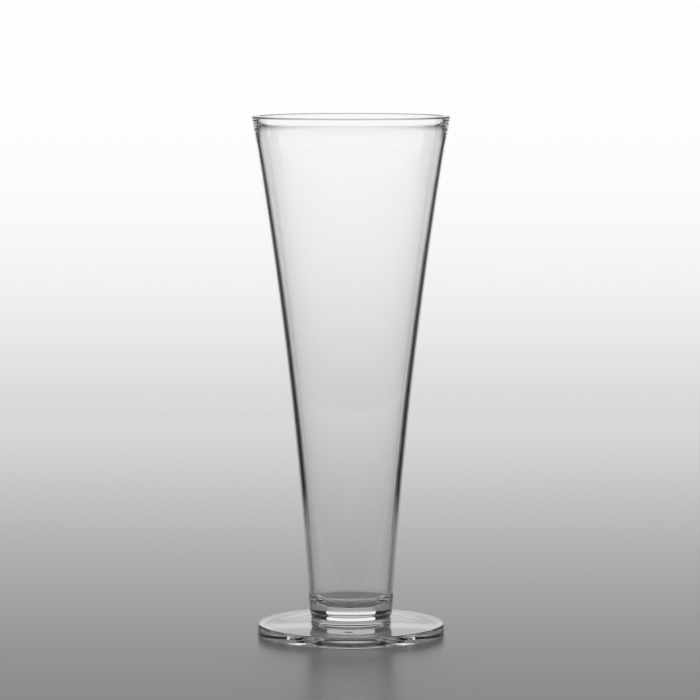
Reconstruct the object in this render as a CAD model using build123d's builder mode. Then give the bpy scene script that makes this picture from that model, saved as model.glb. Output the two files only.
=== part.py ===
"""Footed pilsner glass: a flared bowl with a solid base, bonded to a round foot.

Millimetres, +Z up. The origin is on the table, at the middle of the foot.
"""

import os

from build123d import *

# Overall
glass_height = 212.8  # table to the top of the rim

# Foot
foot_diameter = 76.8
foot_edge_height = 4.5  # table to where the top face meets the side
foot_edge_rounding = 0.8  # upper edge
foot_heel_rounding = 0.5  # lower edge
foot_rise = 0.15  # how much the top face rises from the edge to the boss
stand_width = 3.0  # flat ring that the glass stands on, at the edge of the foot
hollow_depth = 1.6  # hollow inside the ring, at the middle
boss_step = 0.05  # how far the boss stands out from the bowl's base
boss_height = 2.7  # top face of the foot to the seat
boss_fillet = 0.8  # where the boss meets the top face
boss_rounding = 0.3  # upper edge of the boss

# Bond between the foot and the bowl
bond_thickness = 0.15
bond_inset = 0.35  # how far the bond stays inside the flat of the underside

# Bowl, outside
base_diameter = 32.7  # where the heel would meet the underside
base_rounding = 0.4
heel_width = 0.62  # how far the side draws in from the heel's top to the underside
heel_height = 1.9
base_taper = 4.2  # degrees, the straight lower side
straight_side = 15.6  # height of the straight side above the heel
rim_diameter = 81.0

# Bowl, inside
base_thickness = 5.0  # solid glass under the inner floor
floor_rounding = 5.5  # inner corner between floor and wall
base_wall = 2.2  # wall where the flare starts
neck_wall = 1.55  # wall just below the lip
lip_depth = 12.4  # length of the wall, from the rim down, that the lip takes up
lip_width = 2.7  # glass across the rim
lip_rounding = 0.7  # inner edge of the rim
rim_rounding = 0.3  # outer edge of the rim

foot_radius = foot_diameter / 2
base_radius = base_diameter / 2
heel_radius = base_radius + heel_width
rim_radius = rim_diameter / 2
boss_radius = base_radius + boss_step
bond_radius = base_radius - base_rounding - bond_inset
seat_height = foot_edge_height + foot_rise + boss_height
base_height = seat_height + bond_thickness
floor_height = base_height + base_thickness

os.makedirs("parts", exist_ok=True)

# Foot: a disc with a hollow underside and a low round boss, whose top is the seat
with BuildPart() as foot:
    with BuildSketch(Plane.XZ) as foot_section:
        with BuildLine():
            hollow = TangentArc(
                (0, hollow_depth), (foot_radius - stand_width, 0), tangent=(1, 0)
            )
            stand = Line(hollow @ 1, (foot_radius, 0))
            foot_side = Line(stand @ 1, (foot_radius, foot_edge_height))
            top_face = Line(foot_side @ 1, (boss_radius, foot_edge_height + foot_rise))
            boss_side = Line(top_face @ 1, (boss_radius, seat_height))
            seat = Line(boss_side @ 1, (0, seat_height))
            Line(seat @ 1, hollow @ 0)
        make_face()
        for corner, rounding in (
            (stand @ 1, foot_heel_rounding),
            (foot_side @ 1, foot_edge_rounding),
            (top_face @ 1, boss_fillet),
            (boss_side @ 1, boss_rounding),
        ):
            fillet(foot_section.vertices().sort_by_distance(corner)[0], rounding)
    revolve(axis=Axis.Z)
foot.part.label = "foot"
export_step(foot.part, "parts/foot.step")

# Bond: a thin round layer of clear adhesive on the seat
with BuildPart() as bond_film:
    with BuildSketch(Plane.XY.offset(seat_height)):
        Circle(bond_radius)
    extrude(amount=bond_thickness)
bond_film.part.label = "bond_film"
export_step(bond_film.part, "parts/bond_film.step")

# Bowl: a rounded heel and a straight tapered side that flares in one arc to the rim
with BuildPart() as bowl:
    with BuildSketch(Plane.XZ) as bowl_section:
        with BuildLine():
            underside = Line((0, base_height), (base_radius, base_height))
            lower_side = PolarLine(
                (heel_radius, base_height + heel_height),
                straight_side,
                90 - base_taper,
                length_mode=LengthMode.VERTICAL,
            )
            TangentArc(lower_side @ 0, underside @ 1, tangent=-(lower_side % 0))
            flare = TangentArc(
                lower_side @ 1, (rim_radius, glass_height), tangent=lower_side % 1
            )
            rim = Line(flare @ 1, (rim_radius - lip_width, glass_height))
            # The inner wall keeps its thickness square to the outer one
            neck_share = 1 - lip_depth / flare.length
            neck_inward = (flare % neck_share).rotate(Axis.Z, 90)
            neck = flare @ neck_share + neck_inward * neck_wall
            base_inward = (lower_side % 1).rotate(Axis.Z, 90)
            wall_foot = lower_side @ 1 + base_inward * base_wall
            inner_flare = TangentArc(wall_foot, neck, tangent=lower_side % 1)
            # The lip swells gently out of the inner wall
            TangentArc(neck, rim @ 1, tangent=inner_flare % 1)
            floor_line = Line((0, floor_height), (base_radius, floor_height), mode=Mode.PRIVATE)
            inner_side = IntersectingLine(wall_foot, -(lower_side % 1), floor_line)
            inner_floor = Line(inner_side @ 1, (0, floor_height))
            Line(inner_floor @ 1, underside @ 0)
        make_face()
        for corner, rounding in (
            (flare @ 1, rim_rounding),
            (rim @ 1, lip_rounding),
            (underside @ 1, base_rounding),
            (inner_side @ 1, floor_rounding),
        ):
            fillet(bowl_section.vertices().sort_by_distance(corner)[0], rounding)
    revolve(axis=Axis.Z)
bowl.part.label = "bowl"
export_step(bowl.part, "parts/bowl.step")
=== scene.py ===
import math

import bmesh
import bpy
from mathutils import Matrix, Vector


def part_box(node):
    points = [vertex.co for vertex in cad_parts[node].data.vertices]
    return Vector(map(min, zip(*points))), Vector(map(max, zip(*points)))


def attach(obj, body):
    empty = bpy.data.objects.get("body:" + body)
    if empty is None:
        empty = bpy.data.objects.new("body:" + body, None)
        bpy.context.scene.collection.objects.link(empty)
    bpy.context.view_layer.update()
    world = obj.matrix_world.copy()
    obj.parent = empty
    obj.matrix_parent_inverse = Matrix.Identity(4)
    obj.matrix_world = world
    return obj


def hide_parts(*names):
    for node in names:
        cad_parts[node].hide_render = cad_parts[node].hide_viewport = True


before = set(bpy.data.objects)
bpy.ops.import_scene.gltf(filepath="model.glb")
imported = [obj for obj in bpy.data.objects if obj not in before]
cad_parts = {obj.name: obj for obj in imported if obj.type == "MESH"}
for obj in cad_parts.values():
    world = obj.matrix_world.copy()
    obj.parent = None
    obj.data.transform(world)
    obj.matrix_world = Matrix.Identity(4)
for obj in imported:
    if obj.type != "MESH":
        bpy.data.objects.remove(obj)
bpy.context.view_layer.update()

mm = 0.001
scene = bpy.context.scene
print("frame loaded:", ", ".join(sorted(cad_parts)))

lathe = {
    "segments": 300,
    "weld": 0.002 * mm,
    "turnPerRow": math.radians(1.2),
    "endRows": (0.04 * mm, 0.16 * mm, 0.6 * mm),
    "wideRadius": 1.5 * mm,
    "smallCorner": 14,
    "wideCorner": 60,
    "arcSteps": 400,
    "straightTurn": 1e-6,
    "indexNudge": 1e-4,
}

# Outline strokes: lists of (radius, height) points, meeting end to end

def heading(degrees):
    return Vector((math.cos(math.radians(degrees)), math.sin(math.radians(degrees))))


def leftOf(direction):
    return Vector((-direction.y, direction.x))


def line(start, end):
    return [start, end]


def arc(start, direction, end, count=lathe["arcSteps"]):
    # leaves start along direction and ends at end
    chord = end - start
    side = leftOf(direction)
    halfTurn = math.atan2(chord.dot(side), chord.dot(direction))
    if abs(halfTurn) < lathe["straightTurn"]:
        return line(start, end)
    radius = chord.length / (2 * math.sin(halfTurn))
    points = []
    for step in range(count + 1):
        turn = 2 * halfTurn * step / count
        points.append(start + radius * (math.sin(turn) * direction + (1 - math.cos(turn)) * side))
    return points


def endDirection(stroke):
    return (stroke[-1] - stroke[-2]).normalized()


def startDirection(stroke):
    return (stroke[1] - stroke[0]).normalized()


def pointAlong(stroke, distance):
    for a, b in zip(stroke, stroke[1:]):
        run = (b - a).length
        if distance <= run:
            return a.lerp(b, distance / run)
        distance -= run
    return stroke[-1].copy()


def strokeLength(stroke):
    return sum((b - a).length for a, b in zip(stroke, stroke[1:]))


def turnAlong(stroke):
    steps = [b - a for a, b in zip(stroke, stroke[1:])]
    return sum(before.angle(after, 0.0) for before, after in zip(steps, steps[1:]))


def rowsAlong(stroke, first, last, spacing):
    # even rows, closer where the stroke bends, and a few beside each end to keep long faces flat
    span = last - first
    count = max(1, math.ceil(span / spacing), math.ceil(turnAlong(stroke) / lathe["turnPerRow"]))
    distances = {first + span * step / count for step in range(count + 1)}
    for near in lathe["endRows"]:
        if near < span / count / 2:
            distances |= {first + near, last - near}
    return [pointAlong(stroke, distance) for distance in sorted(distances)]


def outline(strokes, roundings, spacings):
    # joins the strokes, rounding the corner after each one by its radius
    cuts = [0.0]
    for before, after, radius in zip(strokes, strokes[1:], roundings):
        turn = endDirection(before).angle(startDirection(after), 0.0)
        cuts.append(radius * math.tan(turn / 2))
    cuts.append(0.0)
    points = []
    for index, stroke in enumerate(strokes):
        rows = rowsAlong(stroke, cuts[index], strokeLength(stroke) - cuts[index + 1], spacings[index])
        if points and cuts[index] > 0:
            isWide = roundings[index - 1] >= lathe["wideRadius"]
            cornerRows = lathe["wideCorner"] if isWide else lathe["smallCorner"]
            corner = arc(points[-1], (points[-1] - points[-2]).normalized(), rows[0], cornerRows)
            points += corner[1:-1]
        elif points:
            rows = rows[1:]
        points += rows
    return points


# Nodes

def addNode(tree, kind, inputs=None, **settings):
    node = tree.nodes.new(kind)
    for name, value in settings.items():
        setattr(node, name, value)
    for name, value in (inputs or {}).items():
        if isinstance(value, bpy.types.NodeSocket):
            tree.links.new(value, node.inputs[name])
        else:
            node.inputs[name].default_value = value
    return node


def addMath(tree, operation, *values):
    return addNode(tree, "ShaderNodeMath", dict(enumerate(values)), operation=operation).outputs[0]


def addRamp(tree, value, span, tones=(0.0, 1.0), **settings):
    # carries a span of the value over to a span of tones and stays level beyond it
    inputs = {
        "Value": value,
        "From Min": span[0],
        "From Max": span[1],
        "To Min": tones[0],
        "To Max": tones[1],
    }
    return addNode(tree, "ShaderNodeMapRange", inputs, **settings).outputs[0]


def addChoice(tree, share, first, second):
    return addNode(tree, "ShaderNodeMix", {"Factor": share, "A": first, "B": second}).outputs[0]


def addPlace(tree, axis):
    place = addNode(tree, "ShaderNodeTexCoord").outputs["Object"]
    return addNode(tree, "ShaderNodeSeparateXYZ", {0: place}).outputs[axis]


def mixShaders(tree, share, first, second):
    return addNode(tree, "ShaderNodeMixShader", {0: share, 1: first.outputs[0], 2: second.outputs[0]})


def addSockets(tree, direction, kind, *names):
    for name in names:
        tree.interface.new_socket(name, in_out=direction, socket_type=kind)


# Lathe: a node tree that turns a column of outline points about the upright axis

def buildLatheTree():
    tree = bpy.data.node_groups.new("turnedGlass", "GeometryNodeTree")
    addSockets(tree, "INPUT", "NodeSocketGeometry", "Outline")
    addSockets(tree, "INPUT", "NodeSocketInt", "Segments")
    addSockets(tree, "INPUT", "NodeSocketFloat", "Weld Distance")
    addSockets(tree, "INPUT", "NodeSocketMaterial", "Material")
    addSockets(tree, "OUTPUT", "NodeSocketGeometry", "Glass")
    given = addNode(tree, "NodeGroupInput").outputs
    rows = addNode(
        tree, "GeometryNodeAttributeDomainSize", {"Geometry": given["Outline"]}, component="MESH"
    ).outputs["Point Count"]
    columns = addMath(tree, "ADD", given["Segments"], 1.0)
    grid = addNode(tree, "GeometryNodeMeshGrid", {"Vertices X": columns, "Vertices Y": rows}).outputs["Mesh"]
    index = addNode(tree, "GeometryNodeInputIndex").outputs[0]
    share = addMath(tree, "DIVIDE", index, rows)
    column = addMath(tree, "FLOOR", addMath(tree, "ADD", share, lathe["indexNudge"]))
    row = addMath(tree, "SUBTRACT", index, addMath(tree, "MULTIPLY", column, rows))
    sampled = addNode(
        tree,
        "GeometryNodeSampleIndex",
        {"Geometry": given["Outline"], "Index": row},
        data_type="FLOAT_VECTOR",
    )
    tree.links.new(addNode(tree, "GeometryNodeInputPosition").outputs[0], sampled.inputs["Value"])
    turnShare = addMath(tree, "DIVIDE", column, given["Segments"])
    turned = addNode(
        tree,
        "ShaderNodeVectorRotate",
        {"Vector": sampled.outputs[0], "Angle": addMath(tree, "MULTIPLY", turnShare, math.tau)},
        rotation_type="Z_AXIS",
    ).outputs[0]
    placed = addNode(tree, "GeometryNodeSetPosition", {"Geometry": grid, "Position": turned}).outputs[0]
    welded = addNode(
        tree, "GeometryNodeMergeByDistance", {"Geometry": placed, "Distance": given["Weld Distance"]}
    ).outputs[0]
    smooth = addNode(tree, "GeometryNodeSetShadeSmooth", {"Geometry": welded}).outputs[0]
    real = addNode(tree, "GeometryNodeRealizeInstances", {"Geometry": smooth}).outputs[0]
    dressed = addNode(
        tree, "GeometryNodeSetMaterial", {"Geometry": real, "Material": given["Material"]}
    ).outputs[0]
    addNode(tree, "NodeGroupOutput", {"Glass": dressed})
    return tree


latheTree = buildLatheTree()


def turnPiece(name, points, material):
    # evaluates the lathe once and keeps the result as a plain mesh
    column = bpy.data.meshes.new(name + "Outline")
    column.from_pydata(
        [(point.x, 0.0, point.y) for point in points],
        [(index, index + 1) for index in range(len(points) - 1)],
        [],
    )
    maker = bpy.data.objects.new(name + "Maker", column)
    scene.collection.objects.link(maker)
    modifier = maker.modifiers.new("turn", "NODES")
    modifier.node_group = latheTree
    values = {"Segments": lathe["segments"], "Weld Distance": lathe["weld"], "Material": material}
    for socket in latheTree.interface.items_tree:
        if socket.in_out == "INPUT" and socket.name in values:
            modifier[socket.identifier] = values[socket.name]
    bpy.context.view_layer.update()
    evaluated = maker.evaluated_get(bpy.context.evaluated_depsgraph_get())
    mesh = bpy.data.meshes.new_from_object(evaluated)
    mesh.name = name
    maker.modifiers.remove(modifier)
    bpy.data.objects.remove(maker)
    bpy.data.meshes.remove(column)
    work = bmesh.new()
    work.from_mesh(mesh)
    bmesh.ops.recalc_face_normals(work, faces=work.faces)
    openEdges = sum(1 for edge in work.edges if not edge.is_manifold)
    volume = work.calc_volume(signed=True) / (10 * mm) ** 3
    work.to_mesh(mesh)
    work.free()
    piece = bpy.data.objects.new(name, mesh)
    scene.collection.objects.link(piece)
    print(name, "rows", len(points), "faces", len(mesh.polygons), "open edges", openEdges, "cm3", volume)
    return piece


def dressContact(piece, height, material):
    # faces that are bonded to the neighbouring piece, found by their height and reach
    if material.name not in piece.data.materials:
        piece.data.materials.append(material)
    slot = piece.data.materials.find(material.name)
    for face in piece.data.polygons:
        center = face.center
        reach = math.hypot(center.x, center.y)
        if abs(center.z - height) < bond["slack"] and reach < bond["radius"]:
            face.material_index = slot


# Finishes

clearGlass = {"index": 1.5, "waveDetail": 1.0, "smearDetail": 4.0, "smearSpan": (0.45, 0.75)}


def newMaterial(name):
    material = bpy.data.materials.new(name)
    material.use_nodes = True
    material.node_tree.nodes.clear()
    return material, material.node_tree


def finishMaterial(tree, shader):
    addNode(tree, "ShaderNodeOutputMaterial", {"Surface": shader.outputs[0]})


def grey(value):
    return (value, value, value, 1)


def buildGlassSurface():
    # slow waves left by the mould and faint smears from handling
    tree = bpy.data.node_groups.new("glassSurface", "ShaderNodeTree")
    addSockets(tree, "INPUT", "NodeSocketFloat", "Wave Scale", "Smear Scale", "Smear")
    addSockets(tree, "OUTPUT", "NodeSocketFloat", "Height", "Roughness")
    given = addNode(tree, "NodeGroupInput").outputs
    place = addNode(tree, "ShaderNodeTexCoord").outputs["Object"]
    waves = addNode(
        tree,
        "ShaderNodeTexNoise",
        {"Vector": place, "Scale": given["Wave Scale"], "Detail": clearGlass["waveDetail"]},
    ).outputs[0]
    patches = addNode(
        tree,
        "ShaderNodeTexNoise",
        {"Vector": place, "Scale": given["Smear Scale"], "Detail": clearGlass["smearDetail"]},
    ).outputs[0]
    smear = addRamp(tree, patches, clearGlass["smearSpan"], (0.0, given["Smear"]))
    addNode(tree, "NodeGroupOutput", {"Height": waves, "Roughness": smear})
    return tree


glassSurface = buildGlassSurface()


def glassMaterial(name, look):
    # clear glass; lamps see a light stand-in, so that it casts a pale shadow
    material, tree = newMaterial(name)
    surface = addNode(tree, "ShaderNodeGroup", node_tree=glassSurface)
    for socket in ("Wave Scale", "Smear Scale", "Smear"):
        surface.inputs[socket].default_value = look[socket]
    bump = addNode(
        tree,
        "ShaderNodeBump",
        {"Height": surface.outputs["Height"], "Strength": 1.0, "Distance": look["Wave Depth"]},
    )
    glass = addNode(
        tree,
        "ShaderNodeBsdfPrincipled",
        {
            "Base Color": grey(1.0),
            "Roughness": surface.outputs["Roughness"],
            "IOR": clearGlass["index"],
            "Transmission Weight": 1.0,
            "Normal": bump.outputs[0],
        },
    )
    seen = addNode(tree, "ShaderNodeLightPath").outputs
    stand = addMath(tree, "MAXIMUM", seen["Is Shadow Ray"], seen["Is Diffuse Ray"])
    clear = addNode(tree, "ShaderNodeBsdfTransparent", {"Color": grey(look["Shade"])})
    finishMaterial(tree, mixShaders(tree, stand, glass, clear))
    return material


def bondedMaterial(name):
    # faces inside the joint, where glass meets adhesive and only a trapped speck shows
    material, tree = newMaterial(name)
    place = addNode(tree, "ShaderNodeTexCoord").outputs["Object"]
    away = addNode(
        tree, "ShaderNodeVectorMath", {0: place, 1: speck["place"]}, operation="DISTANCE"
    ).outputs["Value"]
    cover = addRamp(tree, away, (speck["radius"], speck["core"]), (0.0, speck["cover"]))
    joint = addNode(
        tree,
        "ShaderNodeBsdfPrincipled",
        {
            "Base Color": grey(speck["tone"]),
            "Roughness": speck["roughness"],
            "Alpha": cover,
            "IOR": clearGlass["index"],
        },
    )
    finishMaterial(tree, joint)
    return material


# Joint between bowl and foot

bowlLow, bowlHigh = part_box("bowl")
bondLow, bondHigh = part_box("bond_film")
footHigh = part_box("foot")[1]
bond = {"radius": 15.6 * mm, "rowSpacing": 1.5 * mm, "slack": 0.01 * mm, "sideSlope": 0.5}
speck = {
    "place": (-0.9 * mm, -7.0 * mm, bondHigh.z),
    "radius": 1.6 * mm,
    "core": 1.0 * mm,
    "tone": 0.02,
    "cover": 0.9,
    "roughness": 0.4,
}
bondedFace = bondedMaterial("bondedFace")

# Bowl

bowlLook = {"Wave Scale": 60.0, "Wave Depth": 0.004 * mm, "Smear Scale": 40.0, "Smear": 0.02, "Shade": 0.86}
bowlGlass = glassMaterial("bowlGlass", bowlLook)
bowl = {
    "baseRadius": 16.35 * mm,
    "baseRounding": 0.4 * mm,
    "heelRadius": 16.97 * mm,
    "heelTop": 9.4 * mm,
    "taper": 4.2,
    "floorHeight": 12.5 * mm,
    "floorRounding": 5.5 * mm,
    "flareHeight": 25.0 * mm,
    "rimRadius": 40.5 * mm,
    "rimRounding": 0.3 * mm,
    "baseWall": 2.2 * mm,
    "neckWall": 1.55 * mm,
    "neckStep": 0.5 * mm,
    "lipDepth": 12.4 * mm,
    "lipWidth": 2.7 * mm,
    "lipRounding": 0.7 * mm,
    "rowSpacing": 4.0 * mm,
    "lipRowSpacing": 0.25 * mm,
}


def bowlOutline(size):
    bottom, top = bowlLow.z, bowlHigh.z
    up = heading(90 - size["taper"])
    corner = Vector((size["baseRadius"], bottom))
    heelTop = Vector((size["heelRadius"], size["heelTop"]))
    heel = arc(heelTop, -up, corner)[::-1]
    flareStart = heelTop + up * ((size["flareHeight"] - heelTop.y) / up.y)
    flare = arc(flareStart, up, Vector((size["rimRadius"], top)))
    neckAt = strokeLength(flare) - size["lipDepth"]
    outerNeck = pointAlong(flare, neckAt)
    neckUp = (pointAlong(flare, neckAt + size["neckStep"]) - outerNeck).normalized()
    neck = outerNeck + leftOf(neckUp) * size["neckWall"]
    wallFoot = flareStart + leftOf(up) * size["baseWall"]
    innerCorner = wallFoot - up * ((wallFoot.y - size["floorHeight"]) / up.y)
    innerFlare = arc(wallFoot, up, neck)
    lipEdge = Vector((size["rimRadius"] - size["lipWidth"], top))
    lip = arc(neck, endDirection(innerFlare), lipEdge)[::-1]
    bondEdge = Vector((bond["radius"], bottom))
    strokes = [
        line(Vector((0, bottom)), bondEdge),
        line(bondEdge, corner),
        heel,
        line(heelTop, flareStart),
        flare,
        line(flare[-1], lipEdge),
        lip,
        innerFlare[::-1],
        line(wallFoot, innerCorner),
        line(innerCorner, Vector((0, size["floorHeight"]))),
    ]
    roundings = [
        0,
        size["baseRounding"],
        0,
        0,
        size["rimRounding"],
        size["lipRounding"],
        0,
        0,
        size["floorRounding"],
    ]
    # closer rows on the lip, whose bend shows as stripes otherwise
    spacings = [size["lipRowSpacing"] if stroke is lip else size["rowSpacing"] for stroke in strokes]
    return outline(strokes, roundings, spacings)


bowlPiece = turnPiece("bowlGlass", bowlOutline(bowl), bowlGlass)
dressContact(bowlPiece, bowlLow.z, bondedFace)

# Foot

footLook = {"Wave Scale": 160.0, "Wave Depth": 0.01 * mm, "Smear Scale": 60.0, "Smear": 0.02, "Shade": 0.86}
footGlass = glassMaterial("footGlass", footLook)
foot = {
    "radius": 38.4 * mm,
    "edgeHeight": 4.5 * mm,
    "edgeRounding": 0.8 * mm,
    "heelRounding": 0.5 * mm,
    "standWidth": 3.0 * mm,
    "hollowDepth": 1.6 * mm,
    "rise": 0.15 * mm,
    "bossRadius": 16.4 * mm,
    "bossFillet": 0.8 * mm,
    "bossRounding": 0.3 * mm,
    "rowSpacing": 1.5 * mm,
}


def footOutline(size):
    seat = footHigh.z
    hollow = Vector((0, size["hollowDepth"]))
    ring = Vector((size["radius"] - size["standWidth"], 0))
    corners = [
        ring,
        Vector((size["radius"], 0)),
        Vector((size["radius"], size["edgeHeight"])),
        Vector((size["bossRadius"], size["edgeHeight"] + size["rise"])),
        Vector((size["bossRadius"], seat)),
        Vector((bond["radius"], seat)),
        Vector((0, seat)),
    ]
    strokes = [arc(hollow, Vector((1, 0)), ring)]
    strokes += [line(start, end) for start, end in zip(corners, corners[1:])]
    roundings = [0, size["heelRounding"], size["edgeRounding"], size["bossFillet"], size["bossRounding"], 0]
    return outline(strokes, roundings, [size["rowSpacing"]] * len(strokes))


footPiece = turnPiece("footGlass", footOutline(foot), footGlass)
dressContact(footPiece, footHigh.z, bondedFace)

# Bond

bondLook = {"Wave Scale": 300.0, "Wave Depth": 0.004 * mm, "Smear Scale": 200.0, "Smear": 0.03, "Shade": 0.95}
bondClear = glassMaterial("bondClear", bondLook)


def bondOutline(size):
    low = Vector((size["radius"], bondLow.z))
    high = Vector((size["radius"], bondHigh.z))
    strokes = [line(Vector((0, low.y)), low), line(low, high), line(high, Vector((0, high.y)))]
    return outline(strokes, [0, 0], [size["rowSpacing"]] * len(strokes))


bondPiece = turnPiece("bondFilm", bondOutline(bond), bondClear)
for face in bondPiece.data.polygons:
    face.use_smooth = abs(face.normal.z) < bond["sideSlope"]
dressContact(bondPiece, bondLow.z, bondedFace)
dressContact(bondPiece, bondHigh.z, bondedFace)

for piece, node, slotName in (
    (bowlPiece, "bowl", "bowl_glass"),
    (footPiece, "foot", "foot_glass"),
    (bondPiece, "bond_film", "clear_bond"),
):
    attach(piece, "root")
    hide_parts(node)
print("glass turned and seated")

# Stage: table, bright back panel, dark cards close beside the glass, dark curtain round the room

stage = {
    "floorDrop": 0.05 * mm,
    "floorReach": 9.0,
    # painted light on the table: its colour rises along Y from the front tone to the back tone
    "paintedLightFrom": -0.15,
    "paintedLightFront": 0.43,
    "paintedLightBack": 1.0,
    "paintedLightEase": 1.22,
    "mattShare": 0.7,
    "satinRoughness": 0.3,
    "satinFrom": 0.6,
    "satinFull": 0.8,
    "satinShare": 0.75,
    "satinInGlass": 0.5,
    "panelDistance": 0.884,
    "panelHalfWidth": 0.372,
    "panelHeight": 1.0,
    "panelCove": 0.06,
    "coveSteps": 16,
    "panelFull": 0.3,
    "panelDim": 0.42,
    "panelTop": 0.06,
    "panelFoot": 0.69,
    "panelFade": 0.08,
    "panelEase": 1.3,
    "wallSteps": 24,
    "darkTone": 0.004,
    "louvreClear": (0.25, 0.3),
    "cardRadius": 0.25,
    "cardHeight": 1.0,
    "cardFoot": 0.2,
    "cardBlend": 0.015,
    "cardSpans": ((24, 66), (294, 336)),
    "curtainRadius": 1.4,
    "curtainHeight": 2.5,
    "curtainSpans": ((66, 294),),
    "curtainRise": (0.26, 0.56),
    "curtainFall": (1.08, 0.83),
    "curtainTone": 1.0,
}


def stageObject(name, vertices, faces, material):
    mesh = bpy.data.meshes.new(name)
    mesh.from_pydata(vertices, [], faces)
    mesh.materials.append(material)
    thing = bpy.data.objects.new(name, mesh)
    scene.collection.objects.link(thing)
    return thing


def wallAround(name, radius, height, spans, material):
    # upright wall at a radius, over spans of degrees counted from +Y towards -X
    steps = stage["wallSteps"]
    vertices = []
    faces = []
    for first, last in spans:
        start = len(vertices)
        for step in range(steps + 1):
            angle = math.radians(first + (last - first) * step / steps)
            x, y = -radius * math.sin(angle), radius * math.cos(angle)
            vertices += [(x, y, 0.0), (x, y, height)]
        for step in range(steps):
            a = start + 2 * step
            faces.append((a, a + 2, a + 3, a + 1))
    wall = stageObject(name, vertices, faces, material)
    wall.visible_camera = False
    wall.visible_diffuse = False
    wall.visible_shadow = False
    return wall


def floorMaterial():
    # satin table, painted paler to the back: painted light from the panel that falls off towards the front;
    # it mirrors the panel at grazing angles and is matt from above
    material, tree = newMaterial("satinTable")
    # painted light: the colour of both the matt and the satin part grows paler towards the panel, standing in
    # for the panel's light
    share = addRamp(tree, addPlace(tree, "Y"), (stage["paintedLightFrom"], stage["panelDistance"]))
    eased = addMath(tree, "POWER", share, stage["paintedLightEase"])
    tone = addRamp(tree, eased, (0.0, 1.0), (stage["paintedLightFront"], stage["paintedLightBack"]))
    mattTone = addMath(tree, "MULTIPLY", tone, stage["mattShare"])
    matt = addNode(tree, "ShaderNodeBsdfDiffuse", {"Color": mattTone})
    satin = addNode(
        tree, "ShaderNodeBsdfAnisotropic", {"Color": tone, "Roughness": stage["satinRoughness"]}
    )
    # seen through the glass, the share of satin is the same at every angle
    facing = addNode(tree, "ShaderNodeLayerWeight", {"Blend": 0.5}).outputs["Facing"]
    seenShare = addRamp(
        tree, facing, (stage["satinFrom"], stage["satinFull"]), (0.0, stage["satinShare"])
    )
    throughGlass = addNode(tree, "ShaderNodeLightPath").outputs["Is Transmission Ray"]
    satinShare = addChoice(tree, throughGlass, seenShare, stage["satinInGlass"])
    finishMaterial(tree, mixShaders(tree, satinShare, matt, satin))
    return material


def panelMaterial():
    # brightens with height and dims again above the picture; from behind it isn't there
    material, tree = newMaterial("brightPanel")
    height = addPlace(tree, "Z")
    curved = addMath(tree, "POWER", addMath(tree, "DIVIDE", height, stage["panelFade"]), stage["panelEase"])
    fade = addMath(tree, "EXPONENT", addMath(tree, "MULTIPLY", curved, -1.0))
    tone = addMath(tree, "MULTIPLY_ADD", fade, stage["panelFoot"] - 1.0, 1.0)
    dimming = addRamp(
        tree,
        height,
        (stage["panelFull"], stage["panelDim"]),
        (1.0, stage["panelTop"]),
        interpolation_type="SMOOTHSTEP",
    )
    bright = addNode(tree, "ShaderNodeEmission", {"Color": addMath(tree, "MULTIPLY", tone, dimming)})
    clear = addNode(tree, "ShaderNodeBsdfTransparent")
    back = addNode(tree, "ShaderNodeNewGeometry").outputs["Backfacing"]
    finishMaterial(tree, mixShaders(tree, back, bright, clear))
    return material


def sweptPanel():
    # upright sheet whose foot curves forward on to the table, so that no edge shows there
    cove, far, steps = stage["panelCove"], stage["panelDistance"], stage["coveSteps"]
    side = [(far - cove, 0.0)]
    for step in range(1, steps + 1):
        turn = math.radians(90) * step / steps
        side.append((far - cove + cove * math.sin(turn), cove - cove * math.cos(turn)))
    side.append((far, stage["panelHeight"]))
    vertices = []
    for y, z in side:
        vertices += [(-stage["panelHalfWidth"], y, z), (stage["panelHalfWidth"], y, z)]
    faces = [(2 * row, 2 * row + 1, 2 * row + 3, 2 * row + 2) for row in range(len(side) - 1)]
    panel = stageObject("backPanel", vertices, faces, panelMaterial())
    panel.visible_diffuse = False
    panel.visible_shadow = False


def finishLouvred(tree, tone):
    # shows to level rays and lets through those that look down on the table
    shown = addNode(tree, "ShaderNodeEmission", {"Color": tone})
    clear = addNode(tree, "ShaderNodeBsdfTransparent")
    toViewer = addNode(tree, "ShaderNodeNewGeometry").outputs["Incoming"]
    fall = addNode(tree, "ShaderNodeSeparateXYZ", {0: toViewer}).outputs["Z"]
    finishMaterial(tree, mixShaders(tree, addRamp(tree, fall, stage["louvreClear"]), shown, clear))


def cardMaterial():
    # dark, with a soft foot where it meets the table
    material, tree = newMaterial("darkCard")
    tones = (stage["cardFoot"], stage["darkTone"])
    finishLouvred(tree, addRamp(tree, addPlace(tree, "Z"), (0.0, stage["cardBlend"]), tones))
    return material


def curtainMaterial():
    # dark with one pale band, for the soft light inside the upper bowl
    material, tree = newMaterial("roomCurtain")
    height = addPlace(tree, "Z")
    tone = stage["curtainTone"]
    for span in (stage["curtainRise"], stage["curtainFall"]):
        tone = addRamp(tree, height, span, (stage["darkTone"], tone))
    finishLouvred(tree, tone)
    return material


reach, drop = stage["floorReach"], stage["floorDrop"]
stageObject(
    "table",
    [(-reach, -reach, -drop), (reach, -reach, -drop), (reach, reach, -drop), (-reach, reach, -drop)],
    [(0, 1, 2, 3)],
    floorMaterial(),
)
sweptPanel()
cards = wallAround("sideCards", stage["cardRadius"], stage["cardHeight"], stage["cardSpans"], cardMaterial())
cards.visible_glossy = False  # the table would mirror them
wallAround(
    "darkCurtain",
    stage["curtainRadius"],
    stage["curtainHeight"],
    stage["curtainSpans"],
    curtainMaterial(),
)
print("stage set")

# World: a dim room to the eye, even light for the table, pale through the glass near the horizon

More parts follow.
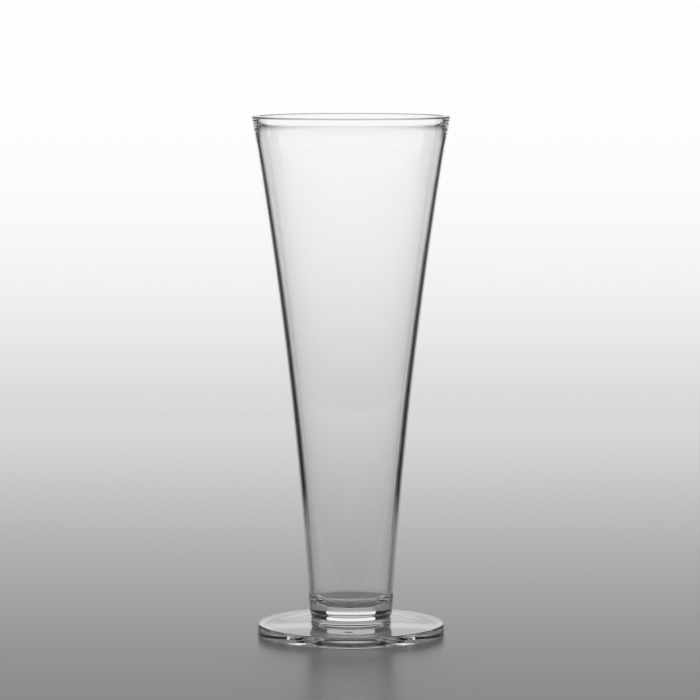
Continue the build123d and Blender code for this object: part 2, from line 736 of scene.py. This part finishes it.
sky = {"ambient": 0.62, "pale": 0.97, "dark": 0.02, "room": 0.05, "horizonTop": 0.22, "darkFrom": 0.42}
world = bpy.data.worlds.new("studio")
scene.world = world
world.use_nodes = True
tree = world.node_tree
tree.nodes.clear()
seen = addNode(tree, "ShaderNodeLightPath").outputs
direction = addNode(tree, "ShaderNodeTexCoord").outputs["Generated"]
lift = addNode(tree, "ShaderNodeSeparateXYZ", {0: direction}).outputs["Z"]
lowSky = addRamp(tree, lift, (sky["horizonTop"], sky["darkFrom"]), (sky["pale"], sky["dark"]))
glassTone = addChoice(tree, seen["Is Transmission Ray"], sky["dark"], lowSky)
lampTone = addChoice(tree, seen["Is Diffuse Ray"], glassTone, sky["ambient"])
eyeTone = addChoice(tree, seen["Is Camera Ray"], lampTone, sky["room"])
background = addNode(tree, "ShaderNodeBackground", {"Color": eyeTone})
addNode(tree, "ShaderNodeOutputWorld", {"Surface": background.outputs[0]})

# Soft lamp from behind and above, which lays the shadow towards the viewer

lamp = {"place": (0.0, 1.6, 2.6), "size": 1.6, "power": 42.0}
lampData = bpy.data.lights.new("softLamp", "AREA")
lampData.shape = "DISK"
lampData.size = lamp["size"]
lampData.energy = lamp["power"]
softLamp = bpy.data.objects.new("softLamp", lampData)
scene.collection.objects.link(softLamp)
softLamp.location = lamp["place"]
softLamp.rotation_euler = (-Vector(lamp["place"])).to_track_quat("-Z", "Y").to_euler()
softLamp.visible_glossy = False
softLamp.visible_transmission = False
print("light set")

# Camera: side, focal and axisOffset are in the picture's own pixels

view = {
    "side": 700,
    "focal": 3802.0,
    "distance": 1549.0 * mm,
    "height": 260.0 * mm,
    "pitch": 5.27,
    "axisOffset": 1.0,
    "sensor": 36.0,
    "clipEnd": 100.0,
}
cameraData = bpy.data.cameras.new("camera")
cameraData.sensor_width = view["sensor"]
cameraData.lens = view["sensor"] * view["focal"] / view["side"]
cameraData.clip_end = view["clipEnd"]
camera = bpy.data.objects.new("camera", cameraData)
scene.collection.objects.link(camera)
camera.location = (0.0, -view["distance"], view["height"])
camera.rotation_euler = (
    math.radians(90 - view["pitch"]),
    0.0,
    math.atan2(view["axisOffset"], view["focal"]),
)
scene.camera = camera
print("camera placed")

scene.view_settings.view_transform = "Standard"
scene.cycles.max_bounces = 32
scene.cycles.transmission_bounces = 32
scene.cycles.glossy_bounces = 16
scene.cycles.transparent_max_bounces = 32
